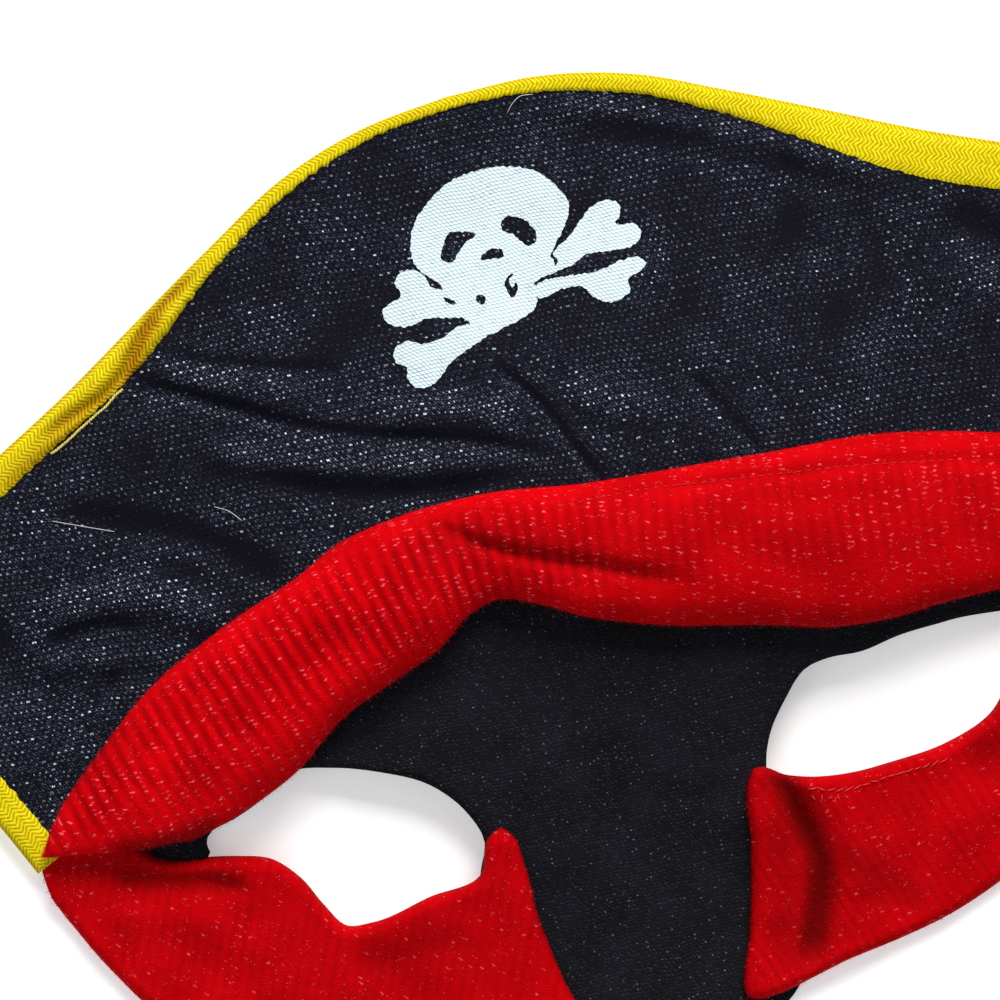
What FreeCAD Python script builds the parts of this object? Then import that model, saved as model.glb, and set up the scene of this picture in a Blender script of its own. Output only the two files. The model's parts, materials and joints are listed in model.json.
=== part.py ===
import FreeCAD, Part
import math
import os

# A small cloth pirate hat for a cat or a small dog, lying opened out with its
# inside up. Millimetres. +X is across the brim, +Y points from the cap to the
# crest of the brim, +Z is up from the surface that the hat lies on.

# ---------------------------------------------------------------- driving sizes
CREST_Y = 84.15             # crest of the brim, measured from the middle of the part
FOLD_Y = CREST_Y - 50.0     # straight line along which the brim folds
FOLD_GAP = 0.3              # each side of the fold line

TENT_HEIGHT = 8.0           # the cloth rises this much under the forehead band
TENT_HALF_WIDTH = 84.0
TENT_REACH = 62.0           # from the ridge to where the cloth lies flat, both ways
RIDGE_Y = CREST_Y - 67.0
RIDGE_SWEEP = 18.0          # the ridge curves back this much at its ends

BINDING_WRAP = 0.4          # thickness of the folded tape that binds the brim
BINDING_EDGE = 0.6          # the panels stop this far inside the tape's outer edge
PANEL = 0.5                 # thickness of the brim's two cloth panels
STIFFENER = 0.8             # thickness of the interlining between them
LAYER_GAP = 0.05
PRINT = 0.1                 # thickness of the white print

STRIP = 1.0                 # crown strip
STRIP_MIDDLE = -7.0
STEP_TOP = 25.0             # the rear bands ride on the strip this far from its middle,
STEP_FOOT = 40.0            # and are down on the surface from here on
REAR_BAND = 3.0             # folded rib knit behind the ears
BAND_WALL = 0.8             # rib knit of the forehead band
BAND_PUFF = 4.6             # height of the stuffed forehead band
BAND_EDGE = 2.6             # its height towards its two long edges
BAND_HALF_WIDTH = 15.0

STRAP_WIDTH = 13.0
STRAP_LENGTH = 58.0
STRAP_CORNER = 3.9
STRAP = 1.2
STRAP_HINGE = 0.4           # the strap's fold line runs this far outside the rear band's edge
STRAP_GAP = STRAP_HINGE + 0.1   # the strap itself starts just outside its fold line
STRAP_START = (68.0, CREST_Y - 116.0)   # middle of the straight stretch of the rear band's edge
STRAP_TURN = 29.4           # the straps point outwards by this angle, in degrees
PATCH_LENGTH = 24.0
PATCH_WIDTH = 10.0
PATCH = 0.9

BASE = 0.1                  # lowest cloth stands this far above the straps' level
CLEARANCE = 0.2             # between neighbouring pieces that are sewn together
TALL = 60.0                 # height of the outline prisms
STATIONS_ACROSS = 57
STATIONS_ALONG = 38
FIELD_X = 112.0
FIELD_FRONT = CREST_Y + 8.0
FIELD_BACK = CREST_Y - 142.0

# Distances below are from the crest: x across, y down from the crest line.
# Right half of the brim's free edge, from the crest to the end of the forehead band.
BRIM_TOP = [(0, 0), (13, -1.0), (26, -4.6), (38, -10.5), (50, -17.0), (63, -24.0), (78, -31.2), (92, -38.6)]
BRIM_TIP = [(92, -38.6), (100.5, -44.5), (103.5, -51), (101, -58.5)]
BRIM_SIDE = [(101, -58.5), (95.5, -69), (90.5, -79), (87, -87.6)]
BINDING_WIDTH_TOP = [1.8, 1.8, 2.1, 2.6, 3.6, 4.8, 5.4, 5.5]
BINDING_WIDTH_SIDE = 5.5
# The brim's sewn edge, hidden under the forehead band.
BRIM_SEWN = [(87, -87.6), (74, -80.5), (55, -73), (25, -67), (-10, -63), (-30, -63.5), (-55, -73),
             (-74, -80.5), (-87, -87.6)]

BAND_UPPER = [(-83, -81.6), (-72.5, -73), (-55.5, -63.4), (-40, -58.4), (-25, -54.4), (-10.8, -54.9),
              (16, -59.2), (43, -62.8), (58, -66.4), (72.5, -74), (83, -82)]
BAND_LOWER = [(71, -90.2), (60, -88.8), (46, -87.3), (33, -86.6), (16, -81.4), (-2, -74.9), (-14, -69.0),
              (-24, -73), (-39, -78.2), (-48, -84), (-57, -87.8), (-70.5, -89.2)]
BAND_END = (85.6, -86.0)    # outer corner where the band meets the rear band, both sides

STRIP_FRONT = [(-62, -83), (-40, -71), (-14, -64), (20, -73), (44, -80), (64, -83)]
STRIP_RIGHT_EAR = [(64, -90.2), (46, -90.8), (28, -90.9), (20.7, -94.4), (16.6, -99), (15.4, -104.2)]
STRIP_REAR = [(15.4, -104.2), (16.5, -110), (13, -131.5), (-29, -131.5), (-29, -111), (-26.6, -105)]
STRIP_LEFT_EAR = [(-26.6, -105), (-25.4, -101.5), (-27, -96), (-31, -91.2), (-37, -87.6), (-43, -85.2),
                  (-48.5, -84.4), (-54, -87.2), (-62, -89)]

LEFT_REAR_OUTER = [(-85.8, -86.9), (-85.4, -95), (-81.5, -105), (-76.8, -111)]
LEFT_REAR_BACK = [(-59.2, -121), (-48, -126.2), (-35, -130.2), (-19.5, -132.5)]
LEFT_REAR_END = [(-19.5, -132.5), (-20.8, -120), (-20.9, -106.5), (-22.2, -100.4)]
LEFT_REAR_EAR = [(-25, -100.9), (-28.6, -105.9), (-36, -107), (-44.5, -107.9), (-48.6, -106), (-51.5, -99),
                 (-56, -94.4), (-62.5, -91.6), (-70.7, -89.9)]

RIGHT_REAR_OUTER = [(85.8, -86.9), (85.4, -95), (81.5, -105), (76.8, -111)]
RIGHT_REAR_BACK = [(59.2, -121), (48, -126.2), (35, -130.6), (3.5, -133.0)]
RIGHT_REAR_EAR = [(13.9, -102.4), (20, -105.6), (28, -107.4), (40, -107.2), (48, -105), (54, -98.5),
                  (61, -93.4), (71, -90.9)]

# The print, measured from the middle of the skull's dome.
PRINT_MIDDLE = (1.2, -20.6)
PRINT_TURN = 2.6
DOME = (11.3, 9.2)
JAW = [(-8.0, -5.0), (-6.6, -12.3), (3.2, -11.6), (6.4, -4.6)]
EYES = [(-5.0, 0.0), (3.6, -0.5)]
EYE_SIZE = (2.5, 1.8)
EYE_TILT = 20.0
NOSE = (-0.9, -2.6)
NOSE_SIZE = (1.7, 0.8)
BONE_ENDS = [(-15.3, -3.2), (-17.9, -13.7), (18.5, -3.6), (15.0, -12.0)]
BONES_CROSS = (-0.5, -8.5)
BONE_WIDTH = 2.8
BONE_LOBE = 2.4             # radius of the two knobs at a bone's end
KNOB_SPREAD = 1.6           # the knobs' middles, in half widths of the bone
BONE_START = 0.42           # share of the way from the crossing at which a bone leaves the skull


# ---------------------------------------------------------------- surfaces
def rise(x, y):
    """Height of the cloth's underside: a low ridge that runs under the forehead band."""
    across = max(0.0, 1.0 - (x / TENT_HALF_WIDTH) ** 2) ** 2
    from_ridge = (y - ridge(x)) / TENT_REACH
    along = max(0.0, 1.0 - from_ridge ** 2) ** 2
    return BASE + TENT_HEIGHT * across * along


def ridge(x):
    return RIDGE_Y - RIDGE_SWEEP * (x / TENT_HALF_WIDTH) ** 2


def rear_rise(x, y):
    """The rear bands lie on the surface and step up where they overlap the crown strip."""
    step = min(1.0, max(0.0, (STEP_FOOT - abs(x - STRIP_MIDDLE)) / (STEP_FOOT - STEP_TOP)))
    step = step * step * (3.0 - 2.0 * step)
    return rise(x, y) + step * (STRIP + LAYER_GAP)


def puff(x, y):
    """Top of the stuffed forehead band: an oval crown over the ridge."""
    off_centre = min(1.0, abs(y - ridge(x)) / BAND_HALF_WIDTH)
    return rise(x, y) + BAND_EDGE + (BAND_PUFF - BAND_EDGE) * (1.0 - off_centre ** 2) ** 2


def surface(height, lift):
    """A smooth face over the whole field at height(x, y) + lift."""
    grid = []
    for i in range(STATIONS_ACROSS):
        x = -FIELD_X + 2.0 * FIELD_X * i / (STATIONS_ACROSS - 1)
        row = []
        for j in range(STATIONS_ALONG):
            y = FIELD_BACK + (FIELD_FRONT - FIELD_BACK) * j / (STATIONS_ALONG - 1)
            row.append(FreeCAD.Vector(x, y, height(x, y) + lift))
        grid.append(row)
    patch = Part.BSplineSurface()
    patch.interpolate(grid)
    return patch.toShape()


def slab(height, lift, thickness):
    return surface(height, lift).extrude(FreeCAD.Vector(0, 0, thickness))


# ---------------------------------------------------------------- outlines
def place(point):
    return FreeCAD.Vector(point[0], CREST_Y + point[1], -TALL / 3.0)


def run(points):
    vectors = [place(p) for p in points]
    if len(vectors) == 2:
        return Part.makeLine(vectors[0], vectors[1])
    curve = Part.BSplineCurve()
    curve.interpolate(vectors)
    return curve.toShape()


def prism(*runs):
    """Upright prism inside a closed chain of smooth runs; straight lines close the gaps between runs."""
    edges = []
    for this, following in zip(runs, runs[1:] + runs[:1]):
        edges.append(run(this))
        if this[-1] != following[0]:
            edges.append(run([this[-1], following[0]]))
    return Part.Face(Part.Wire(edges)).extrude(FreeCAD.Vector(0, 0, TALL))


def mirrored(points):
    return [(-x, y) for x, y in reversed(points)]


def inset(points, distances):
    """Moves a run of points towards its right-hand side by the given distances."""
    moved = []
    for i, (x, y) in enumerate(points):
        before = points[max(i - 1, 0)]
        after = points[min(i + 1, len(points) - 1)]
        dx, dy = after[0] - before[0], after[1] - before[1]
        length = math.hypot(dx, dy)
        moved.append((x + dy / length * distances[i], y - dx / length * distances[i]))
    return moved


def brim_prism(distance):
    """The whole brim's outline, its free edge moved in by distance; a list gives the widths along the top."""
    half = BRIM_TOP + BRIM_TIP[1:] + BRIM_SIDE[1:]
    if isinstance(distance, list):
        widths = distance + [BINDING_WIDTH_SIDE] * (len(half) - len(distance))
    else:
        widths = [distance] * len(half)
    right = inset(half, widths)
    right[0] = (0, -widths[0])
    whole = mirrored(right)[:-1] + right
    sewn = [right[-1]] + BRIM_SEWN[1:-1] + [whole[0]]
    return prism(whole, sewn)


def ellipse(middle, size, tilt=0.0):
    """Points of an ellipse, for a closed smooth prism."""
    points = []
    for step in range(16):
        angle = 2.0 * math.pi * step / 16
        x, y = size[0] * math.cos(angle), size[1] * math.sin(angle)
        c, s = math.cos(tilt), math.sin(tilt)
        points.append((middle[0] + x * c - y * s, middle[1] + x * s + y * c))
    return points


def print_place(point):
    c, s = math.cos(math.radians(PRINT_TURN)), math.sin(math.radians(PRINT_TURN))
    return (PRINT_MIDDLE[0] + point[0] * c - point[1] * s, PRINT_MIDDLE[1] + point[0] * s + point[1] * c)


def print_loop(points):
    vectors = [place(print_place(p)) for p in points]
    curve = Part.BSplineCurve()
    curve.interpolate(vectors, PeriodicFlag=True)
    return Part.Face(Part.Wire(curve.toShape())).extrude(FreeCAD.Vector(0, 0, TALL))


def print_polygon(points):
    vectors = [place(print_place(p)) for p in points]
    return Part.Face(Part.makePolygon(vectors + vectors[:1])).extrude(FreeCAD.Vector(0, 0, TALL))


def beyond_fold(side):
    """Half space in front of the fold line (side 1) or behind it (side -1)."""
    depth = 200.0
    y = FOLD_Y + FOLD_GAP if side > 0 else FOLD_Y - FOLD_GAP - depth
    return Part.makeBox(2 * FIELD_X, depth, TALL, FreeCAD.Vector(-FIELD_X, y, -TALL / 3.0))


# ---------------------------------------------------------------- pieces
def brim_layers():
    """The brim's two panels and interlining, whole."""
    inner = brim_prism(BINDING_EDGE)
    back_z = BINDING_WRAP + 2 * LAYER_GAP
    stiffener_z = back_z + PANEL + LAYER_GAP
    front_z = stiffener_z + STIFFENER + LAYER_GAP
    return {
        "brim_back_panel": slab(rise, back_z, PANEL).common(inner),
        "brim_interlining": slab(rise, stiffener_z, STIFFENER).common(inner),
        "brim_front_panel": slab(rise, front_z, PANEL).common(inner),
    }, front_z + PANEL


def binding(top):
    """Tape folded round the brim's free edge: a front leg, a back leg and the fold between them."""
    tape = slab(rise, 0.0, top + LAYER_GAP + BINDING_WRAP).common(brim_prism(0.0))
    tape = tape.cut(brim_prism(BINDING_WIDTH_TOP))
    pocket = slab(rise, BINDING_WRAP + LAYER_GAP, top - BINDING_WRAP)
    pocket = pocket.common(brim_prism(BINDING_EDGE - LAYER_GAP))
    return tape.cut(pocket)


def skull_print(top):
    dome = print_loop(ellipse((0, 0), DOME))
    face = dome.fuse(print_polygon(JAW)).removeSplitter()
    for eye in EYES:
        face = face.cut(print_loop(ellipse(eye, EYE_SIZE, math.radians(EYE_TILT))))
    face = face.cut(print_loop(ellipse(NOSE, NOSE_SIZE)))
    return face, slab(rise, top + LAYER_GAP, PRINT).common(face)


def crossbones_print(top, face):
    bones = None
    for end in BONE_ENDS:
        dx, dy = end[0] - BONES_CROSS[0], end[1] - BONES_CROSS[1]
        length = math.hypot(dx, dy)
        nx, ny = -dy / length * BONE_WIDTH / 2, dx / length * BONE_WIDTH / 2
        start = (BONES_CROSS[0] + dx * BONE_START, BONES_CROSS[1] + dy * BONE_START)
        shaft = print_polygon([(start[0] + nx, start[1] + ny), (end[0] + nx, end[1] + ny),
                               (end[0] - nx, end[1] - ny), (start[0] - nx, start[1] - ny)])
        for side in (1, -1):
            lobe = (end[0] + side * nx * KNOB_SPREAD, end[1] + side * ny * KNOB_SPREAD)
            shaft = shaft.fuse(print_loop(ellipse(lobe, (BONE_LOBE, BONE_LOBE))))
        shaft = shaft.cut(face)
        bones = shaft if bones is None else bones.fuse(shaft)
    return slab(rise, top + LAYER_GAP, PRINT).common(bones)


def band_prism(shrink):
    upper = inset(BAND_UPPER, [shrink] * len(BAND_UPPER))
    lower = inset(BAND_LOWER, [shrink] * len(BAND_LOWER))
    corner = (BAND_END[0] - shrink * 1.5, BAND_END[1])
    return prism(upper, [upper[-1], corner], [corner, lower[0]], lower, [lower[-1], (-corner[0], corner[1])],
                 [(-corner[0], corner[1]), upper[0]])


def stuffed_band(lift, shrink, outline):
    """The space between the band's seat and its crown, drawn in by shrink all round."""
    block = slab(rise, lift + shrink, 2 * BAND_PUFF).common(outline)
    return block.cut(slab(puff, lift - shrink, 4 * BAND_PUFF))


def forehead_band(seat):
    cover = stuffed_band(seat, 0.0, band_prism(0.0))
    cover = cover.cut(stuffed_band(seat, BAND_WALL, band_prism(BAND_WALL)))
    core_in = BAND_WALL + LAYER_GAP
    return cover, stuffed_band(seat, core_in, band_prism(core_in))


def rear_bands():
    left = prism(LEFT_REAR_OUTER, LEFT_REAR_BACK, LEFT_REAR_END, LEFT_REAR_EAR)
    right = prism(RIGHT_REAR_EAR, RIGHT_REAR_OUTER, RIGHT_REAR_BACK)
    body = slab(rear_rise, 0.0, REAR_BAND)
    return body.common(left), body.common(right)


def strap_plate(side, start, length, width, low, thickness):
    """A flat plate along one chin strap; it starts the given distance outside the rear band's edge."""
    plate = Part.makeBox(width, length, thickness, FreeCAD.Vector(-width / 2, -start - length, low))
    plate.rotate(FreeCAD.Vector(0, 0, 0), FreeCAD.Vector(0, 0, 1), side * STRAP_TURN)
    plate.translate(FreeCAD.Vector(side * STRAP_START[0], STRAP_START[1], 0))
    return plate


def chin_strap(side, low):
    """A chin strap with its two far corners rounded."""
    strap = strap_plate(side, STRAP_GAP, STRAP_LENGTH - STRAP_GAP, STRAP_WIDTH, low, STRAP)
    upright = [edge for edge in strap.Edges if abs(edge.tangentAt(edge.FirstParameter).z) > 0.9]
    upright.sort(key=lambda edge: edge.CenterOfMass.y)
    return strap.makeFillet(STRAP_CORNER, upright[:2])


# ---------------------------------------------------------------- assembly
nodes = {}
layers, brim_top = brim_layers()
for name, layer in layers.items():
    nodes[name] = layer.common(beyond_fold(1))
    nodes[name.replace("brim_", "brim_root_")] = layer.common(beyond_fold(-1))

tape = binding(brim_top)
nodes["brim_binding"] = tape.common(beyond_fold(1))
tape_ends = tape.common(beyond_fold(-1)).Solids
tape_ends.sort(key=lambda solid: solid.CenterOfMass.x)
nodes["binding_end_left"] = tape_ends[0]
nodes["binding_end_right"] = tape_ends[-1]

skull_prism, nodes["skull_print"] = skull_print(brim_top)
nodes["crossbones_print"] = crossbones_print(brim_top, skull_prism)

band_seat = brim_top + 2 * LAYER_GAP + BINDING_WRAP + CLEARANCE
nodes["forehead_band"], nodes["forehead_band_wadding"] = forehead_band(band_seat)

strip_prism = prism(STRIP_FRONT, STRIP_RIGHT_EAR, STRIP_REAR[:3], STRIP_REAR[3:], STRIP_LEFT_EAR)
strip_clear = brim_prism(-CLEARANCE)
nodes["crown_strip"] = slab(rise, 0.0, STRIP).common(strip_prism).cut(strip_clear)
nodes["rear_band_left"], nodes["rear_band_right"] = rear_bands()

nodes["chin_strap_left"] = chin_strap(-1, 0.0)
nodes["chin_strap_right"] = chin_strap(1, PATCH + LAYER_GAP)
patch_start = STRAP_LENGTH - PATCH_LENGTH - (STRAP_WIDTH - PATCH_WIDTH)
nodes["loop_patch"] = strap_plate(-1, patch_start, PATCH_LENGTH, PATCH_WIDTH, STRAP + LAYER_GAP, PATCH)
nodes["hook_patch"] = strap_plate(1, patch_start, PATCH_LENGTH, PATCH_WIDTH, 0.0, PATCH)

os.makedirs("parts", exist_ok=True)
for name, shape in nodes.items():
    if len(shape.Solids) == 1:
        shape = shape.Solids[0]
    shape.exportStep("parts/" + name + ".step")
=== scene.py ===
import json
import math

import bpy
import numpy as np
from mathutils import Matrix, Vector
from mathutils.bvhtree import BVHTree


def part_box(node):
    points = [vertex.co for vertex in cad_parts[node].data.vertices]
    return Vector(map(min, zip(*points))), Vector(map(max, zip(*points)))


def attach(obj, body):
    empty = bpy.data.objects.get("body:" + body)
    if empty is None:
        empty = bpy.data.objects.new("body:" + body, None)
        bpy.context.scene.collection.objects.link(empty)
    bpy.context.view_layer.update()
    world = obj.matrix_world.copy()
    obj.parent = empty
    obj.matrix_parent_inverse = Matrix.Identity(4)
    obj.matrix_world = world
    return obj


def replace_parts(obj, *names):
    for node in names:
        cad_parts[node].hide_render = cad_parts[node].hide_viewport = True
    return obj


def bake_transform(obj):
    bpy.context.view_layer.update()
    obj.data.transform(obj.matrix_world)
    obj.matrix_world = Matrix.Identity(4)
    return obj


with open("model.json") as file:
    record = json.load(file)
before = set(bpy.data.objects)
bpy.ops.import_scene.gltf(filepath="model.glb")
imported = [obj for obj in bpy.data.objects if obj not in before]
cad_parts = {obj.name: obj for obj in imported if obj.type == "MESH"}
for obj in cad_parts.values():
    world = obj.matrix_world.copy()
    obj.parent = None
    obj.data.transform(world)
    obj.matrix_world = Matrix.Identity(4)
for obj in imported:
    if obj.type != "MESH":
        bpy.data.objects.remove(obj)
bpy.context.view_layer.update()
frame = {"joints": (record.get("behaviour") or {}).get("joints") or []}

# A small cloth pirate hat, lying opened out with its inside up. The shapes below are
# worked out in millimetres from the crest of the brim: x across, v along the hat
# (0 at the crest, negative towards the back), z up. make_mesh() turns them into metres.

MM = 0.001
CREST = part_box("brim_binding")[1].y / MM
FOLD = frame["joints"][0]
FOLD_V = FOLD["pos_m"][1] / MM - CREST

FULL_TURN = 2 * math.pi
NEARLY_UP = (0.13, 0.07, 1.0)     # never in line with a thread

# ------------------------------------------------------------------ the shape's sizes
TENT_HEIGHT, TENT_HALF_WIDTH, TENT_REACH = 8.0, 84.0, 62.0
RIDGE_V, RIDGE_SWEEP = -67.0, 18.0
BASE = 0.1
FRONT_LIFT = 2.4        # top of the brim's front cloth above the tent
BACK_LIFT = 0.5         # underside of its back cloth
BACK_LOWEST = 0.42
STRIP_LIFT = 1.0
BAND_SEAT = 2.95        # underside of the forehead band above the tent
RIB_PITCH = 1.95
REAR_RIB_PITCH = 1.3
REAR_BAND = 3.0

BRIM_HALF = [(0, 0.4), (13, -0.5), (26, -4.1), (38, -10.1), (50, -16.6), (63, -23.7), (78, -31.0),
             (92, -38.5), (100.5, -44.5), (103.2, -51), (101, -58.5), (95.5, -69), (90.5, -79), (87, -87.6)]
BRIM_SEWN = [(87, -87.6), (74, -80.5), (55, -73), (25, -68), (-10, -64), (-30, -64.5), (-55, -73),
             (-74, -80.5), (-87, -87.6)]
# Width of the yellow tape on the front, against x.
TAPE_X = [-104, -66, -60, -54, -48, -43, -37, -30, -10, 6, 19, 33, 43, 50, 62, 104]
TAPE_WIDTH = [5.0, 4.4, 5.0, 5.0, 4.2, 2.8, 2.5, 2.3, 1.7, 1.8, 2.7, 2.9, 3.8, 5.0, 6.8, 6.4]

BAND_UPPER = [(-85.5, -85.4), (-82.4, -81.2), (-72.5, -73), (-63.7, -67), (-55.5, -63.4), (-47.7, -60.7),
              (-40, -58.4), (-32, -55.3), (-25, -54.4), (-10.8, -54.8), (2.5, -57.4), (16, -59.2),
              (29.6, -60.9), (43, -62.6), (53, -65.2), (64, -69.2), (73.5, -74.8), (81.5, -81),
              (85.5, -85.8)]
BAND_LOWER = [(-72.2, -88.3), (-68.2, -88.6), (-63.6, -89.0), (-60.6, -88.5), (-55.9, -87.3), (-47.7, -84.3),
              (-38.9, -78.8), (-31.1, -76.1), (-23.3, -73.5), (-17.5, -70.0), (-13.8, -69.3), (-8.6, -71.4),
              (-2.7, -75.1), (3.5, -77.9), (9.8, -80.3), (16.3, -82.2), (22.7, -84.2), (29, -86.4),
              (37, -87.8), (46, -88.0), (56, -88.7), (71, -90.6)]

STRIP = [(-62, -83), (-40, -71), (-14, -64), (20, -73), (44, -80), (64, -83), (64, -90.2), (46, -90.8),
         (38.7, -90.7), (32.7, -91.3), (28.4, -90.8), (24.8, -91.2), (20.7, -94.6), (17.3, -98.7),
         (15.3, -104.2), (16.3, -110), (14.5, -120), (13, -131.5), (-29, -131.5), (-29, -120), (-28.6, -110),
         (-27.3, -105.6), (-25.4, -101.5), (-26.7, -96.5), (-30.3, -91.6), (-36.5, -87.8), (-43, -85.2),
         (-48.5, -84.1), (-53.4, -86.6), (-58.5, -88.3), (-62.3, -89.2), (-63.1, -90.3), (-62.6, -91.3),
         (-63.6, -92.6), (-67, -92.3), (-71.5, -90.8), (-71.5, -86.0)]
REAR_LEFT = [(-70.4, -90.1), (-73.0, -87.6), (-78, -86.1), (-85.6, -84.9), (-86.2, -91), (-84.0, -97.5),
             (-80.8, -104.5), (-76.8, -111), (-68, -116), (-59.2, -121), (-48, -126.2), (-35, -130.2),
             (-19.5, -132.5), (-20.6, -122), (-21.2, -114), (-20.9, -106.5), (-21.4, -101.6),
             (-22.6, -100.2), (-24.6, -100.9), (-27.3, -105.7), (-34.9, -106.6), (-43.8, -107.8),
             (-47.4, -107.2), (-49.6, -103.5), (-51.6, -98.9), (-54.8, -95.1), (-59.4, -93.3),
             (-63.2, -92.3), (-66.8, -91.6)]
REAR_RIGHT = [(12.8, -103.4), (13.4, -102.7), (14.6, -102.6), (15.8, -103.2), (17.2, -104.4), (20, -105.7),
              (26.3, -107.2), (33, -107.5), (40.7, -107.2), (48, -105), (54, -98.5), (61, -93.4),
              (71, -90.9), (85.6, -86.9), (86.2, -92), (84.0, -98), (80.8, -104.5), (76.8, -111), (68, -116),
              (59.2, -121), (48, -126.2), (35, -130.6), (20, -132.4), (3.5, -133), (6.9, -123.7),
              (10.2, -113)]

# Folds in the brim's cloth: the line it runs along, its half width, and its height (negative for a valley).
BRIM_FOLDS = [
    ([(-57, -23.5), (-50.2, -27.4), (-42.9, -32.0), (-33.1, -38.3), (-21.5, -43.4), (-11, -47.3),
      (3, -54)], 1.0, -0.85),
    ([(-5, -37), (-1.5, -42.7), (0.4, -46.2), (2.4, -51.7), (5.5, -59)], 0.8, -0.95),
    ([(21, -46.5), (24.8, -54.9), (28, -62)], 1.0, -0.5),
    ([(-73, -38), (-61, -44.3), (-52.3, -48.7), (-46.5, -54.2), (-40, -61)], 2.4, -0.78),
    ([(-42, -42), (-35.6, -46.4), (-26.5, -50.3), (-17.0, -52.6), (-2.2, -54.5)], 1.7, -0.62),
    ([(-52, -22), (-43.8, -25.5), (-36.0, -28.7), (-24, -33)], 1.0, -0.4),
    ([(-77, -57.4), (-69.4, -56.6), (-62, -59.2)], 1.0, -0.4),
    ([(-66, -48), (-55.2, -54), (-48.2, -60)], 2.2, -0.35),
    ([(-54, -23), (-50.7, -24.2), (-44.7, -28.5), (-37.0, -31.9), (-30, -35)], 2.2, 0.85),
    ([(-50, -36.5), (-38.5, -41.7), (-28.1, -46.0), (-17.3, -49.0), (-5, -52)], 2.3, 1.0),
    ([(-24, -40.8), (-16.5, -41.5), (-9.7, -43.2), (-3, -47.5)], 2.3, 0.9),
    ([(3, -45), (9.3, -47.9), (17, -52)], 2.6, 0.7),
    ([(-77, -55), (-65.6, -53.6), (-57.7, -56.7), (-51, -63)], 2.8, 1.2),
    ([(-79, -60.8), (-72, -60.8), (-66, -63.2)], 1.7, 0.7),
    ([(-74, -68), (-67.6, -64.6), (-62, -66)], 1.6, -0.4),
    ([(8, -4.3), (19.8, -8.0), (32.7, -14.2), (45.2, -21.6), (53.7, -27.2), (60, -31)], 1.6, 0.5),
    ([(6, -8.5), (20, -12.4), (33, -18.9), (46, -26.2), (58, -34)], 1.1, -0.15),
    ([(45, -18), (40.3, -31.8), (34, -48)], 2.6, -0.5),
    ([(51, -29), (50.8, -39.4), (48, -52)], 2.0, -0.45),
    ([(27.5, -17), (24.5, -29.9), (23, -44)], 2.2, -0.4),
    ([(62, -34), (70, -46), (74, -60)], 3.0, -0.9),
    ([(74, -36), (84, -48), (86, -62)], 4.0, 1.0),
    ([(-92, -44), (-84, -54), (-82, -66)], 3.0, -0.9),
]

# The white print, measured from the middle of the skull's dome.
PRINT_MIDDLE = np.array([1.2, -20.6])
PRINT_LOW, PRINT_HIGH = PRINT_MIDDLE + (-19.6, -18.4), PRINT_MIDDLE + (20.2, 10.6)
SKULL = [(-12.1, 2.1), (-10.8, 4.9), (-8.3, 7.2), (-4.8, 9.1), (-0.5, 9.7), (4.2, 9.0), (7.9, 7.1),
         (9.9, 4.4), (10.9, 2.1), (10.6, 0.3), (9.3, -1.6), (7.8, -3.2), (6.6, -4.7), (6.4, -6.8),
         (5.6, -7.9), (2.9, -8.4), (2.8, -10.0), (2.1, -11.3), (0.2, -12.1), (-2.5, -12.6), (-5.8, -13.0),
         (-7.2, -12.1), (-7.3, -10.7), (-8.4, -9.1), (-9.8, -6.5), (-9.5, -4.7), (-10.6, -3.1),
         (-11.9, -1.5), (-12.4, 0.0)]
SKULL_HOLES = [
    [(-8.5, -0.9), (-7.5, 1.2), (-6.6, 2.3), (-4.5, 2.0), (-2.6, 1.0), (-4.4, 0.5), (-5.8, -0.6),
     (-7.4, -1.8)],
    [(0.9, 1.4), (1.8, 2.2), (3.3, 1.8), (4.8, 0.4), (5.3, -1.3), (4.8, -2.5), (3.6, -2.6), (2.8, -1.6),
     (2.3, -0.6), (0.8, 0.6)],
    [(-3.3, -2.5), (-2.4, -1.8), (-1.2, -1.5), (0.0, -2.1), (0.0, -3.0), (-1.7, -2.9)],
    [(-5.5, -7.8), (-5.0, -7.2), (-4.3, -7.6), (-4.2, -8.4), (-4.9, -8.7)],
    [(1.3, -5.7), (-0.2, -5.9), (-1.0, -6.6), (-1.0, -7.9), (-0.7, -9.0), (0.7, -7.6), (0.6, -7.1),
     (-0.2, -7.6),
     (-0.3, -6.7), (0.2, -6.0)],
    [(-9.8, -6.1), (-8.8, -6.7), (-8.2, -7.6), (-9.0, -7.4), (-9.6, -6.7)],
    [(6.8, -4.4), (6.2, -4.9), (6.6, -5.7), (6.4, -6.5), (7.1, -5.9), (6.7, -4.9)],
    [(2.6, -8.2), (3.4, -7.7), (6.2, -7.4), (7.9, -7.3), (7.6, -7.9), (4.9, -7.9)]]
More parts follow.
